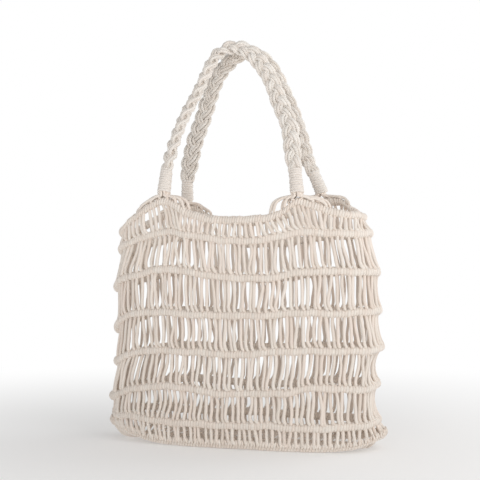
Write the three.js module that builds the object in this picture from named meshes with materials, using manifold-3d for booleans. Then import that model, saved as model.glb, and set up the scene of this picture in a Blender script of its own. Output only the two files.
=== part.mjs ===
// An open beach bag knotted from cotton cord. Wrapped ropes ring the body, bands of upright cords
// join one rope to the next, and two plaited handles end in wound collars whose cords spread over the rim.
// Millimetres, +Z up, the front of the bag towards -Y, the origin on the floor under the middle.

import * as THREE from "three";
import { LoftGeometry } from "three/addons/geometries/LoftGeometry.js";
import { mergeVertices } from "three/addons/utils/BufferGeometryUtils.js";
import Module from "manifold-3d";

const wasm = await Module();
wasm.setup();

// Sizes of the body
const bodyHalfWidth = 164; // from the middle to the rope's centre, at a full rib
const bodyHalfDepth = 50;
const bodyHeight = 284; // from the floor to the centre of the rim rope, under a collar
const outlinePower = 2.6; // 2 is an ellipse, and more is squarer
const ribDiameter = 8.6;
const baseRopeDiameter = 6.6;
const netThickness = 3.6; // one upright cord
const clearance = 0.35; // between pieces that touch on the real bag
const cottonColor = 0xdcd2c8; // undyed, a little warmer than white

// Sizes of the gaps in the net
const gapsPerBand = 16;
const bandPostWidth = 20; // what is left between two gaps
const gapMargin = 2.5; // above and below a gap
const baseGapLength = 42;
const baseGapsPerRow = 4;
const baseStripWidth = 22; // what is left along the middle of the floor
const baseBorderWidth = 13; // what is left between a gap and the base rope

// Sizes of the handles
const handleRise = 178; // from the feet to the centre of the plait at its top
const plaitWidth = 19.3;
const plaitThickness = 14;
const coreDiameter = 10.4; // the handle's cords where a collar binds them
const collarLength = 27;
const collarFootDiameter = 15.6;
const collarTopDiameter = 13.8;
const hubHeight = 5.5; // the knot of cords between a collar and the rim rope
const fanReach = 36; // from a collar to where its farthest cords meet the rim
const fanCordDiameter = 4.2;
const fanArch = 2.4; // how far a fan's cords rise off the rim at their crest
const fanCrest = 0.6; // where along its way a fan's cord is highest
const fanSlack = 1.6; // how far above the rim the end of a fan's cord stays

// How finely the round shapes are divided
const ropeSides = 8;
const plaitSides = 8;
const plaitSteps = 26;
const fanSides = 6;
const fanSteps = 4;
const collarSides = 12;

// Where along the width each level in the table below applies, from the left end to the right end
const levelPlaces = [-1, -0.93, -0.8, -0.52, -0.32, 0, 0.27, 0.41, 0.555, 0.78, 0.92, 1];

// One row for each rope. Width and shift are shares of bodyHalfWidth, depth is a share of bodyHalfDepth,
// and levels are shares of the height from the base rope's centre to the highest rope's.
const ropeTable = [
  {
    name: "rim_rope",
    diameter: ribDiameter,
    width: 0.912,
    depth: 1,
    shift: -0.0346,
    front: [0.879, 0.899, 0.943, 0.998, 0.948, 0.916, 0.918, 0.936, 0.984, 0.949, 0.934, 0.93],
    back: [0.879, 0.905, 0.95, 1.006, 0.953, 0.932, 0.955, 0.985, 1.017, 1.008, 0.955, 0.93],
  },
  {
    name: "rib_1",
    diameter: ribDiameter,
    width: 0.935,
    depth: 0.98,
    shift: -0.007,
    front: [0.811, 0.826, 0.847, 0.872, 0.858, 0.833, 0.838, 0.849, 0.862, 0.86, 0.856, 0.866],
    back: [0.811, 0.826, 0.847, 0.872, 0.858, 0.833, 0.838, 0.849, 0.862, 0.86, 0.856, 0.866],
  },
  {
    name: "rib_2",
    diameter: ribDiameter,
    width: 0.982,
    depth: 1,
    shift: -0.0046,
    front: [0.64, 0.668, 0.69, 0.719, 0.706, 0.679, 0.683, 0.695, 0.703, 0.705, 0.7, 0.708],
    back: [0.64, 0.668, 0.69, 0.719, 0.706, 0.679, 0.683, 0.695, 0.703, 0.705, 0.7, 0.708],
  },
  {
    name: "rib_3",
    diameter: ribDiameter,
    width: 0.98,
    depth: 1,
    shift: 0.0054,
    front: [0.468, 0.497, 0.528, 0.538, 0.535, 0.525, 0.53, 0.538, 0.543, 0.54, 0.54, 0.551],
    back: [0.468, 0.497, 0.528, 0.538, 0.535, 0.525, 0.53, 0.538, 0.543, 0.54, 0.54, 0.551],
  },
  {
    name: "rib_4",
    diameter: ribDiameter,
    width: 0.9875,
    depth: 1,
    shift: 0.0125,
    front: [0.314, 0.336, 0.362, 0.379, 0.377, 0.373, 0.38, 0.384, 0.391, 0.39, 0.392, 0.407],
    back: [0.314, 0.336, 0.362, 0.379, 0.377, 0.373, 0.38, 0.384, 0.391, 0.39, 0.392, 0.407],
  },
  {
    name: "rib_5",
    diameter: ribDiameter,
    width: 0.988,
    depth: 1,
    shift: -0.015,
    front: [0.161, 0.18, 0.208, 0.231, 0.226, 0.214, 0.217, 0.222, 0.241, 0.243, 0.24, 0.256],
    back: [0.161, 0.18, 0.208, 0.231, 0.226, 0.214, 0.217, 0.222, 0.241, 0.243, 0.24, 0.256],
  },
  {
    name: "rib_6",
    diameter: ribDiameter,
    width: 0.987,
    depth: 1,
    shift: -0.017,
    front: [0.097, 0.098, 0.098, 0.087, 0.086, 0.086, 0.086, 0.085, 0.085, 0.091, 0.096, 0.099],
    back: [0.097, 0.098, 0.098, 0.087, 0.086, 0.086, 0.086, 0.085, 0.085, 0.091, 0.096, 0.099],
  },
  {
    name: "base_rope",
    diameter: baseRopeDiameter,
    width: 1.009,
    depth: 0.96,
    shift: 0.001,
    front: [0.06, 0.053, 0.03, 0.004, 0, 0, 0, 0, 0, 0.008, 0.03, 0.048],
    back: [0.06, 0.053, 0.03, 0.004, 0, 0, 0, 0, 0, 0.008, 0.03, 0.048],
  },
];

// Which way along Y each side of the bag lies from the middle
const frontSide = -1;
const backSide = 1;

// Where each handle's collars stand, as shares of the rim's own half width, and how each leans towards the
// middle, across the bag and from front to back, as shares of its length. Then the points that each plait
// passes through between its collars: across is a share of half the distance between the feet, rise is a
// share of handleRise and depth is a share of bodyHalfDepth.
const handleTable = [
  {
    name: "front",
    side: frontSide,
    leftCollar: -0.532,
    rightCollar: 0.538,
    leftLean: { across: 0.05, depth: 0.2 },
    rightLean: { across: 0.13, depth: 0.19 },
    route: [
      { across: -0.888, rise: 0.361, depth: 0.67 },
      { across: -0.757, rise: 0.53, depth: 0.55 },
      { across: -0.577, rise: 0.7, depth: 0.42 },
      { across: -0.425, rise: 0.872, depth: 0.3 },
      { across: -0.3, rise: 0.96, depth: 0.24 },
      { across: -0.12, rise: 1, depth: 0.205 },
      { across: 0.03, rise: 0.994, depth: 0.205 },
      { across: 0.154, rise: 0.968, depth: 0.23 },
      { across: 0.28, rise: 0.923, depth: 0.26 },
      { across: 0.404, rise: 0.853, depth: 0.32 },
      { across: 0.54, rise: 0.75, depth: 0.39 },
      { across: 0.66, rise: 0.63, depth: 0.48 },
      { across: 0.84, rise: 0.428, depth: 0.62 },
      { across: 0.898, rise: 0.316, depth: 0.7 },
    ],
  },
  {
    name: "back",
    side: backSide,
    leftCollar: -0.552,
    rightCollar: 0.618,
    leftLean: { across: 0.07, depth: 0.2 },
    rightLean: { across: 0.36, depth: 0.19 },
    route: [
      { across: -0.905, rise: 0.267, depth: 0.71 },
      { across: -0.829, rise: 0.38, depth: 0.63 },
      { across: -0.725, rise: 0.491, depth: 0.55 },
      { across: -0.538, rise: 0.708, depth: 0.39 },
      { across: -0.427, rise: 0.815, depth: 0.31 },
      { across: -0.3, rise: 0.888, depth: 0.26 },
      { across: -0.139, rise: 0.945, depth: 0.22 },
      { across: 0.033, rise: 0.966, depth: 0.2 },
      { across: 0.22, rise: 0.925, depth: 0.23 },
      { across: 0.367, rise: 0.847, depth: 0.29 },
      { across: 0.471, rise: 0.747, depth: 0.36 },
      { across: 0.574, rise: 0.626, depth: 0.45 },
      { across: 0.676, rise: 0.498, depth: 0.54 },
      { across: 0.765, rise: 0.344, depth: 0.65 },
      { across: 0.814, rise: 0.234, depth: 0.73 },
    ],
  },
];

// The cords of one fan: which way each goes along the rim, how far as a share of fanReach, and how far
// outwards across the rim rope as a share of its radius
const fanTable = [
  { way: -1, reach: 1, outwards: 0.55 },
  { way: -1, reach: 0.55, outwards: -0.55 },
  { way: 1, reach: 0.55, outwards: -0.55 },
  { way: 1, reach: 1, outwards: 0.55 },
];

const up = new THREE.Vector3(0, 0, 1);

function cottonCord() {
  return new THREE.MeshStandardMaterial({ color: cottonColor, roughness: 0.95, metalness: 0 });
}

// A smooth value between table entries that never overshoots them.
function smoothBetween(places, values, at) {
  const last = places.length - 1;
  let left = 0;
  while (left < last - 1 && at > places[left + 1]) left += 1;
  const rises = [];
  for (let i = 0; i < last; i += 1) rises.push((values[i + 1] - values[i]) / (places[i + 1] - places[i]));
  const slopeAt = (i) => {
    if (i === 0) return rises[0];
    if (i === last) return rises[last - 1];
    const product = rises[i - 1] * rises[i];
    return product > 0 ? (2 * product) / (rises[i - 1] + rises[i]) : 0;
  };
  const span = places[left + 1] - places[left];
  const t = Math.min(Math.max((at - places[left]) / span, 0), 1);
  const rising = t * t * (3 - 2 * t);
  const leaving = t * (1 - t) * (1 - t) * span * slopeAt(left);
  const arriving = t * t * (1 - t) * span * slopeAt(left + 1);
  return values[left] * (1 - rising) + values[left + 1] * rising + leaving - arriving;
}

// The outline seen from above, for half width and half depth of 1.
function unitOutline(turn) {
  const cosine = Math.cos(turn);
  const sine = Math.sin(turn);
  const power = 2 / outlinePower;
  return new THREE.Vector2(
    Math.sign(cosine) * Math.abs(cosine) ** power,
    Math.sign(sine) * Math.abs(sine) ** power,
  );
}

// The outline of a full rib in fine steps, with the distance run so far at each.
function traceOutline() {
  const fineSteps = 2880;
  const points = [];
  const distances = [];
  for (let i = 0; i <= fineSteps; i += 1) {
    const unit = unitOutline((i / fineSteps) * 2 * Math.PI);
    const before = i > 0 ? points[i - 1] : unit;
    const across = (unit.x - before.x) * bodyHalfWidth;
    const along = (unit.y - before.y) * bodyHalfDepth;
    distances.push((i > 0 ? distances[i - 1] : 0) + Math.hypot(across, along));
    points.push(unit);
  }
  return { points, distances, girth: distances[fineSteps] };
}

const outline = traceOutline();

// The unit outline's point at a share of the girth, anticlockwise from the right end.
function stationAt(share) {
  const wanted = (((share % 1) + 1) % 1) * outline.girth;
  const reached = Math.max(outline.distances.findIndex((distance) => distance > wanted) - 1, 0);
  const step = outline.distances[reached + 1] - outline.distances[reached];
  const along = (wanted - outline.distances[reached]) / step;
  return outline.points[reached].clone().lerp(outline.points[reached + 1], along);
}

const baseLevel = baseRopeDiameter / 2;

// The rope's centre and its outward direction at one station of the unit outline.
function ropeAt(rope, unit) {
  const halfWidth = rope.width * bodyHalfWidth;
  const halfDepth = rope.depth * bodyHalfDepth;
  const levels = unit.y < 0 ? rope.front : rope.back;
  const share = smoothBetween(levelPlaces, levels, unit.x);
  const centre = new THREE.Vector3(
    unit.x * halfWidth + rope.shift * bodyHalfWidth,
    unit.y * halfDepth,
    baseLevel + share * (bodyHeight - baseLevel),
  );
  const outwards = new THREE.Vector3(
    (Math.sign(unit.x) * Math.abs(unit.x) ** (outlinePower - 1)) / halfWidth,
    (Math.sign(unit.y) * Math.abs(unit.y) ** (outlinePower - 1)) / halfDepth,
    0,
  ).normalize();
  return { centre, outwards, radius: rope.diameter / 2 };
}

// The unit outline's point at a share of the half width, on the front or the back.
function unitAt(share, side) {
  const depth = (1 - Math.abs(share) ** outlinePower) ** (1 / outlinePower);
  return new THREE.Vector2(share, side * depth);
}

function solidOf(geometry) {
  const bare = new THREE.BufferGeometry();
  bare.setAttribute("position", geometry.getAttribute("position"));
  bare.setIndex(geometry.getIndex());
  const merged = mergeVertices(bare, 1e-4);
  return new wasm.Manifold(
    new wasm.Mesh({
      numProp: 3,
      vertProperties: merged.attributes.position.array,
      triVerts: new Uint32Array(merged.index.array),
    }),
  );
}

function geometryOf(solid) {
  const mesh = solid.getMesh();
  const geometry = new THREE.BufferGeometry();
  geometry.setAttribute("position", new THREE.BufferAttribute(mesh.vertProperties, 3));
  geometry.setIndex(new THREE.BufferAttribute(mesh.triVerts, 1));
  geometry.computeVertexNormals();
  return geometry;
}

function piece(name, geometry) {
  const mesh = new THREE.Mesh(geometry, cottonCord());
  mesh.name = name;
  return mesh;
}

// A surface of flat-edged patches, each given by its four corners in anticlockwise order.
function patchwork(patches) {
  const corners = [];
  for (const [a, b, c, d] of patches) corners.push(a, b, c, a, c, d);
  return mergeVertices(new THREE.BufferGeometry().setFromPoints(corners), 1e-4);
}

// Every rope and band has a station where each gap starts and ends, so their sides stay side by side.
function gapStations() {
  const halfGap = (1 / gapsPerBand - bandPostWidth / outline.girth) / 2;
  const stations = [];
  for (let i = 0; i < gapsPerBand; i += 1) {
    const middle = (i + 0.5) / gapsPerBand;
    stations.push(stationAt(middle - halfGap), stationAt(middle + halfGap));
  }
  return stations;
}

const stations = gapStations();

function ropeGeometry(rope) {
  const sections = stations.map((unit) => {
    const { centre, outwards, radius } = ropeAt(rope, unit);
    const ring = [];
    for (let i = 0; i < ropeSides; i += 1) {
      const turn = (i / ropeSides) * 2 * Math.PI;
      ring.push(
        centre
          .clone()
          .addScaledVector(up, radius * Math.cos(turn))
          .addScaledVector(outwards, radius * Math.sin(turn)),
      );
    }
    return ring;
  });
  return new LoftGeometry([...sections, sections[0]]);
}

// Where a band leaves the rope on its way to another, and the wall's thickness direction there.
function bandEdge(from, towards) {
  const sideways = new THREE.Vector3().crossVectors(up, from.outwards);
  const way = towards.centre.clone().sub(from.centre);
  way.addScaledVector(sideways, -way.dot(sideways)).normalize();
  const through = new THREE.Vector3().crossVectors(way, sideways).normalize();
  if (through.dot(from.outwards) < 0) through.negate();
  const middle = from.centre.clone().addScaledVector(way, from.radius + clearance);
  return { middle, through };
}

// The wall's corners at one station: its two ropes' edges and the two ends of a gap, inside and outside.
function bandCorners(upperRope, lowerRope, unit) {
  const upper = ropeAt(upperRope, unit);
  const lower = ropeAt(lowerRope, unit);
  const top = bandEdge(upper, lower);
  const bottom = bandEdge(lower, upper);
  const downwards = bottom.middle.clone().sub(top.middle).normalize();
  const pair = (middle, through) => ({
    inner: middle.clone().addScaledVector(through, -netThickness / 2),
    outer: middle.clone().addScaledVector(through, netThickness / 2),
  });
  return {
    top: pair(top.middle, top.through),
    gapTop: pair(top.middle.clone().addScaledVector(downwards, gapMargin), top.through),
    gapBottom: pair(bottom.middle.clone().addScaledVector(downwards, -gapMargin), bottom.through),
    bottom: pair(bottom.middle, bottom.through),
  };
}

// A wall from one rope to the next, open at every gap and whole between two gaps.
function bandGeometry(upperRope, lowerRope) {
  const corners = stations.map((unit) => bandCorners(upperRope, lowerRope, unit));
  const patches = [];
  const outside = (here, next, high, low) =>
    patches.push([here[low].outer, next[low].outer, next[high].outer, here[high].outer]);
  const inside = (here, next, high, low) =>
    patches.push([here[high].inner, next[high].inner, next[low].inner, here[low].inner]);
  const upwards = (here, next, row) =>
    patches.push([here[row].inner, here[row].outer, next[row].outer, next[row].inner]);
  const downwards = (here, next, row) =>
    patches.push([here[row].inner, next[row].inner, next[row].outer, here[row].outer]);
  for (let i = 0; i < corners.length; i += 1) {
    const here = corners[i];
    const next = corners[(i + 1) % corners.length];
    const isGap = i % 2 === 0;
    upwards(here, next, "top");
    downwards(here, next, "bottom");
    for (const side of [outside, inside]) {
      side(here, next, "top", "gapTop");
      side(here, next, "gapBottom", "bottom");
      if (!isGap) side(here, next, "gapTop", "gapBottom");
    }
    if (!isGap) continue;
    downwards(here, next, "gapTop");
    upwards(here, next, "gapBottom");
    patches.push([here.gapBottom.inner, here.gapTop.inner, here.gapTop.outer, here.gapBottom.outer]);
    patches.push([next.gapBottom.inner, next.gapBottom.outer, next.gapTop.outer, next.gapTop.inner]);
  }
  return patchwork(patches);
}

// The floor inside the base rope, with two rows of gaps beside a strip down the middle.
function floorGeometry(rope) {
  const sections = [];
  for (const unit of stations.slice(0, stations.length / 2)) {
    const { centre, outwards, radius } = ropeAt(rope, unit);
    const edge = centre.clone().addScaledVector(outwards, -(radius + clearance));
    const underside = centre.z - radius;
    sections.push([
      new THREE.Vector3(edge.x, -edge.y, underside + netThickness),
      new THREE.Vector3(edge.x, edge.y, underside + netThickness),
      new THREE.Vector3(edge.x, edge.y, underside),
      new THREE.Vector3(edge.x, -edge.y, underside),
    ]);
  }
  let solid = solidOf(new LoftGeometry(sections, { capStart: true, capEnd: true }));
  const pitch = (2 * bodyHalfWidth) / (baseGapsPerRow + 1);
  const cutHeight = 4 * rope.diameter; // well through the floor
  const gapStart = baseStripWidth / 2;
  const gapEnd = rope.depth * bodyHalfDepth - rope.diameter / 2 - clearance - baseBorderWidth;
  for (let i = 0; i < baseGapsPerRow; i += 1) {
    for (const side of [frontSide, backSide]) {
      const box = new THREE.BoxGeometry(baseGapLength, gapEnd - gapStart, cutHeight);
      box.translate((i - (baseGapsPerRow - 1) / 2) * pitch, (side * (gapStart + gapEnd)) / 2, 0);
      solid = solid.subtract(solidOf(box));
    }
  }
  return geometryOf(solid);
}

// Where a collar stands: the knot of cords under it, its foot, its upward run and its top.
function collarPlace(rim, handle, share, lean) {
  const { centre, radius } = ropeAt(rim, unitAt(share, handle.side));
  const hubFoot = centre.clone().addScaledVector(up, radius + clearance);
  const across = -Math.sign(share) * lean.across;
  const depth = -handle.side * lean.depth;
  const run = new THREE.Vector3(across, depth, Math.sqrt(1 - across * across - depth * depth));
  const dip = (collarFootDiameter / 2) * Math.hypot(across, depth); // the low side of a leaning collar
  const foot = hubFoot.clone().addScaledVector(up, hubHeight + clearance + dip);
  return { share, hubFoot, foot, run, top: foot.clone().addScaledVector(run, collarLength) };
}

function handleCurve(handle, left, right) {
  const middle = left.foot.clone().lerp(right.foot, 0.5);
  const halfStance = (right.foot.x - left.foot.x) / 2;
  const points = handle.route.map(
    ({ across, rise, depth }) =>
      new THREE.Vector3(
        middle.x + across * halfStance,
        handle.side * depth * bodyHalfDepth,
        middle.z + rise * handleRise,
      ),
  );
  return new THREE.CatmullRomCurve3([left.top, ...points, right.top], false, "centripetal");
}

// One round or flattened section of the handle, square to its run.
function handleSection(centre, run, width, thickness) {
  const through = new THREE.Vector3(0, 1, 0);
  through.addScaledVector(run, -through.dot(run)).normalize();
  const across = new THREE.Vector3().crossVectors(through, run);
  const ring = [];
  for (let i = 0; i < plaitSides; i += 1) {
    const turn = (i / plaitSides) * 2 * Math.PI;
    ring.push(
      centre
        .clone()
        .addScaledVector(across, (width / 2) * Math.cos(turn))
        .addScaledVector(through, (thickness / 2) * Math.sin(turn)),
    );
  }
  return ring;
}

function handleGeometry(curve, leftCollar, rightCollar) {
  const sections = [
    handleSection(leftCollar.foot, leftCollar.run, coreDiameter, coreDiameter),
    handleSection(leftCollar.top, leftCollar.run, coreDiameter, coreDiameter),
  ];
  const shoulder = plaitWidth / curve.getLength(); // full width is reached over about that width
  for (let i = 0; i <= plaitSteps; i += 1) {
    const share = shoulder + (i / plaitSteps) * (1 - 2 * shoulder);
    sections.push(
      handleSection(curve.getPointAt(share), curve.getTangentAt(share), plaitWidth, plaitThickness),
    );
  }
  const downwards = rightCollar.run.clone().negate();
  sections.push(handleSection(rightCollar.top, downwards, coreDiameter, coreDiameter));
  sections.push(handleSection(rightCollar.foot, downwards, coreDiameter, coreDiameter));
  return new LoftGeometry(sections, { capStart: true, capEnd: true });
}

// The wound collar is a sleeve round the handle's cords.
function collarMesh(name, collar) {
  const inner = coreDiameter / 2 + clearance;
  const profile = [
    new THREE.Vector2(inner, 0),
    new THREE.Vector2(collarFootDiameter / 2, 0),
    new THREE.Vector2(collarTopDiameter / 2, collarLength - clearance),
    new THREE.Vector2(inner, collarLength - clearance),
    new THREE.Vector2(inner, 0),
  ];
  const mesh = piece(name, new THREE.LatheGeometry(profile, collarSides));
  mesh.position.copy(collar.foot);
  mesh.quaternion.setFromUnitVectors(new THREE.Vector3(0, 1, 0), collar.run);
  return mesh;
}

// The handle's cords spread from a short knot under the collar and come down along the rim rope.
function fanGeometry(rim, handle, collar) {
  const cordRadius = fanCordDiameter / 2;
  const hub = new THREE.CylinderGeometry(coreDiameter / 2, coreDiameter / 2, hubHeight, collarSides);
  hub.rotateX(Math.PI / 2);
  const hubMiddle = collar.hubFoot.clone().addScaledVector(up, hubHeight / 2);
  hub.translate(hubMiddle.x, hubMiddle.y, hubMiddle.z);
  let solid = solidOf(hub);
  const round = new THREE.Shape();
  round.absarc(0, 0, cordRadius, 0, 2 * Math.PI);
  for (const { way, reach, outwards } of fanTable) {
    const onRim = (distance) => {
      const share = collar.share + (way * distance * reach * fanReach) / (rim.width * bodyHalfWidth);
      const place = ropeAt(rim, unitAt(share, handle.side));
      return place.centre
        .addScaledVector(place.outwards, distance * outwards * place.radius)
        .addScaledVector(up, place.radius + clearance + cordRadius + distance * fanSlack);
    };
    const rising = onRim(fanCrest / 2).addScaledVector(up, fanArch / 2);
    const crest = onRim(fanCrest).addScaledVector(up, fanArch);
    const path = new THREE.CatmullRomCurve3([onRim(0), rising, crest, onRim(1)]);
    const cord = new THREE.ExtrudeGeometry(round, {
      steps: fanSteps,
      curveSegments: fanSides / 2,
      extrudePath: path,
      bevelEnabled: false,
    });
    solid = solid.add(solidOf(cord));
  }
  return geometryOf(solid);
}

function body() {
  const group = new THREE.Group();
  for (const rope of ropeTable) group.add(piece(rope.name, ropeGeometry(rope)));
  for (let i = 1; i < ropeTable.length; i += 1) {
    group.add(piece(`net_band_${i}`, bandGeometry(ropeTable[i - 1], ropeTable[i])));
  }
  group.add(piece("base_net", floorGeometry(ropeTable.at(-1))));
  return group;
}

function handleWithCollars(rim, handle) {
  const group = new THREE.Group();
  const left = collarPlace(rim, handle, handle.leftCollar, handle.leftLean);
  const right = collarPlace(rim, handle, handle.rightCollar, handle.rightLean);
  const curve = handleCurve(handle, left, right);
  group.add(piece(`${handle.name}_handle_braid`, handleGeometry(curve, left, right)));
  group.add(collarMesh(`${handle.name}_left_whipping`, left));
  group.add(collarMesh(`${handle.name}_right_whipping`, right));
  group.add(piece(`${handle.name}_left_fan`, fanGeometry(rim, handle, left)));
  group.add(piece(`${handle.name}_right_fan`, fanGeometry(rim, handle, right)));
  return group;
}

const group = new THREE.Group();
group.add(body());
for (const handle of handleTable) group.add(handleWithCollars(ropeTable[0], handle));
export default group;
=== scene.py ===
import math

import bpy
import numpy as np
from mathutils import Euler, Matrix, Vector


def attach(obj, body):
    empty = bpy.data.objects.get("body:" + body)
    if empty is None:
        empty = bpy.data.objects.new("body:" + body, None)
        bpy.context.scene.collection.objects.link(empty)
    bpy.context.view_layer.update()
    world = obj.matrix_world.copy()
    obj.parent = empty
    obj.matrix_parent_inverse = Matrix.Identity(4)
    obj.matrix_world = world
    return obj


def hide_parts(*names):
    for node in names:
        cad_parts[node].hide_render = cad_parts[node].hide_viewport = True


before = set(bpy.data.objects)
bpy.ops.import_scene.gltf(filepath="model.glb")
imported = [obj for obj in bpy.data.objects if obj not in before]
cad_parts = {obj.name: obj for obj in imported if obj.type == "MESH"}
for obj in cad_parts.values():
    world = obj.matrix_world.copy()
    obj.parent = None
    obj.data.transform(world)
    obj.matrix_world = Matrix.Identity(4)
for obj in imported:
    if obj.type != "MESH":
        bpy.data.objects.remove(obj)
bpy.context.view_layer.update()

# An open beach bag knotted from cotton cord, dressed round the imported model. Metres, +Z up, front towards -Y.

mm = 0.001
up = np.array([0.0, 0.0, 1.0])
frontwards = np.array([0.0, -1.0, 0.0])
seeds = {"wave": 11, "ropes": 23, "net": 37, "base": 41, "plaits": 53, "collars": 61, "fans": 71}

bagBody = {
    "halfWidth": 164 * mm,      # from the middle to a full rib's centre
    "halfDepth": 50 * mm,
    "height": 284 * mm,         # from the floor to the rim rope's centre under a collar
    "outlinePower": 2.6,        # 2 is an ellipse, and more is squarer
    "ribDiameter": 9.9 * mm,
    "rimDiameter": 9.7 * mm,
    "baseRopeDiameter": 6.6 * mm,
    "cordDiameter": 3.85 * mm,
    "uprights": 112,            # in one band, all the way round
    "wrapsPerUpright": 2,
    "endStart": 0.9,            # what is said of the ends holds from this share of the half width outwards
    "endTuck": 1.9 * mm,        # how far the ropes turn in there
    "leftSwell": 0.34,          # how much thicker they are at the left end, as a share of their radius
}

# Width, depth and shift are shares of the body's half sizes. Levels are shares of the height between the
# lowest rope and the rim, at the places along the width that levelPlaces gives.
levelPlaces = [-1, -0.93, -0.8, -0.52, -0.32, 0, 0.27, 0.41, 0.555, 0.78, 0.92, 1]
ropeTable = {
    "rim_rope": {
        "width": 0.912, "depth": 1, "shift": -0.0346,
        "front": [0.879, 0.899, 0.943, 0.998, 0.948, 0.916, 0.918, 0.936, 0.984, 0.949, 0.934, 0.93],
        "back": [0.879, 0.905, 0.95, 1.006, 0.953, 0.932, 0.955, 0.985, 1.017, 1.008, 0.955, 0.93],
    },
    "rib_1": {
        "width": 0.935, "depth": 0.98, "shift": -0.007,
        "front": [0.811, 0.826, 0.847, 0.872, 0.858, 0.833, 0.838, 0.849, 0.862, 0.86, 0.856, 0.866],
    },
    "rib_2": {
        "width": 0.982, "depth": 1, "shift": -0.0046,
        "front": [0.64, 0.668, 0.69, 0.719, 0.706, 0.679, 0.683, 0.695, 0.703, 0.705, 0.7, 0.708],
    },
    "rib_3": {
        "width": 0.98, "depth": 1, "shift": 0.0054,
        "front": [0.468, 0.497, 0.528, 0.538, 0.535, 0.525, 0.53, 0.538, 0.543, 0.54, 0.54, 0.551],
    },
    "rib_4": {
        "width": 0.9875, "depth": 1, "shift": 0.0125,
        "front": [0.314, 0.336, 0.362, 0.379, 0.377, 0.373, 0.38, 0.384, 0.391, 0.39, 0.392, 0.407],
    },
    "rib_5": {
        "width": 0.988, "depth": 1, "shift": -0.015,
        "front": [0.161, 0.18, 0.208, 0.231, 0.226, 0.214, 0.217, 0.222, 0.241, 0.243, 0.24, 0.256],
    },
    "rib_6": {
        "width": 0.987, "depth": 1, "shift": -0.017,
        "front": [0.097, 0.098, 0.098, 0.087, 0.086, 0.086, 0.086, 0.085, 0.085, 0.091, 0.096, 0.099],
    },
    "base_rope": {
        "width": 1.009, "depth": 0.96, "shift": 0.001,
        "front": [0.06, 0.053, 0.03, 0.004, 0, 0, 0, 0, 0, 0.008, 0.03, 0.048],
    },
}
ropeNames = list(ropeTable)


def unitVectors(vectors):
    return vectors / np.linalg.norm(vectors, axis=-1, keepdims=True)


# 0 to 1 with a soft start and a soft end
def eased(t):
    return t * t * (3 - 2 * t)


# Smooth values between table entries that never overshoot them, for an array of places
def smoothBetween(places, values, at):
    places = np.asarray(places, float)
    values = np.asarray(values, float)
    rises = np.diff(values) / np.diff(places)
    product = rises[:-1] * rises[1:]
    total = np.where(product > 0, rises[:-1] + rises[1:], 1.0)
    slopes = np.concatenate([rises[:1], np.where(product > 0, 2 * product / total, 0.0), rises[-1:]])
    left = np.clip(np.searchsorted(places, at, side="left") - 1, 0, len(places) - 2)
    span = places[left + 1] - places[left]
    t = np.clip((at - places[left]) / span, 0, 1)
    rising = eased(t)
    leaving = t * (1 - t) ** 2 * span * slopes[left]
    arriving = t * t * (1 - t) * span * slopes[left + 1]
    return values[left] * (1 - rising) + values[left + 1] * rising + leaving - arriving


def unitOutline(turn):
    power = 2 / bagBody["outlinePower"]
    cosine, sine = np.cos(turn), np.sin(turn)
    return np.stack([np.sign(cosine) * np.abs(cosine) ** power, np.sign(sine) * np.abs(sine) ** power], -1)


outlineSteps = 2880


def traceOutline():
    unit = unitOutline(np.linspace(0, 2 * math.pi, outlineSteps + 1))
    real = unit * [bagBody["halfWidth"], bagBody["halfDepth"]]
    steps = np.linalg.norm(np.diff(real, axis=0), axis=1)
    return unit, np.concatenate([[0.0], np.cumsum(steps)])


outlineUnit, outlineRun = traceOutline()
girth = outlineRun[-1]


# The unit outline at shares of the girth, anticlockwise from the right end
def stationAt(share):
    wanted = np.mod(share, 1.0) * girth
    return np.stack([np.interp(wanted, outlineRun, outlineUnit[:, i]) for i in range(2)], -1)


# The share of the girth where the front (side -1) or the back (side 1) has this share of the half width
def shareAt(acrossShare, side):
    halfway = outlineSteps // 2
    half = slice(0, halfway + 1) if side > 0 else slice(halfway, outlineSteps + 1)
    order = np.argsort(outlineUnit[half, 0])
    return np.interp(acrossShare, outlineUnit[half, 0][order], outlineRun[half][order]) / girth


def ropeRadius(name):
    return bagBody[{"base_rope": "baseRopeDiameter", "rim_rope": "rimDiameter"}.get(name, "ribDiameter")] / 2


# How far the left and the right end of a rope hang below its levels
endDrops = {
    "rib_1": (3.4 * mm, 0), "rib_2": (1.2 * mm, 0.6 * mm), "rib_3": (2.2 * mm, 1.4 * mm),
    "rib_4": (-1 * mm, 2.6 * mm), "rib_5": (-2 * mm, 2.6 * mm),
}


# 1 at the left and right ends of the outline, and 0 from endStart inwards
def endNearness(share):
    start = bagBody["endStart"]
    return eased(np.clip((np.abs(stationAt(share)[..., 0]) - start) / (1 - start), 0, 1))


# How many times thicker a rope is towards its left end. The two lowest aren't.
def endSwell(name, share):
    swells = (stationAt(share)[..., 0] < 0) * (name not in ("rib_6", "base_rope"))
    return 1 + bagBody["leftSwell"] * swells * endNearness(share)


waveRandom = np.random.default_rng(seeds["wave"])
waves = {
    "turns": [5, 9, 17, 29],                 # how many waves go round the bag
    "heights": np.array([0.7, 0.5, 0.35, 0.25]) * mm,
    "baseShare": 0.3,                        # the lowest rope lies flat on what it stands on
    "phases": {name: waveRandom.uniform(0, 2 * math.pi, (2, 4)) for name in ropeNames},
}


# Every rope wanders a little off its level and off the outline.
def ropeWave(name, share, which):
    angle = 2 * math.pi * np.multiply.outer(share, waves["turns"]) + waves["phases"][name][which]
    return np.sin(angle) @ waves["heights"]


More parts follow.
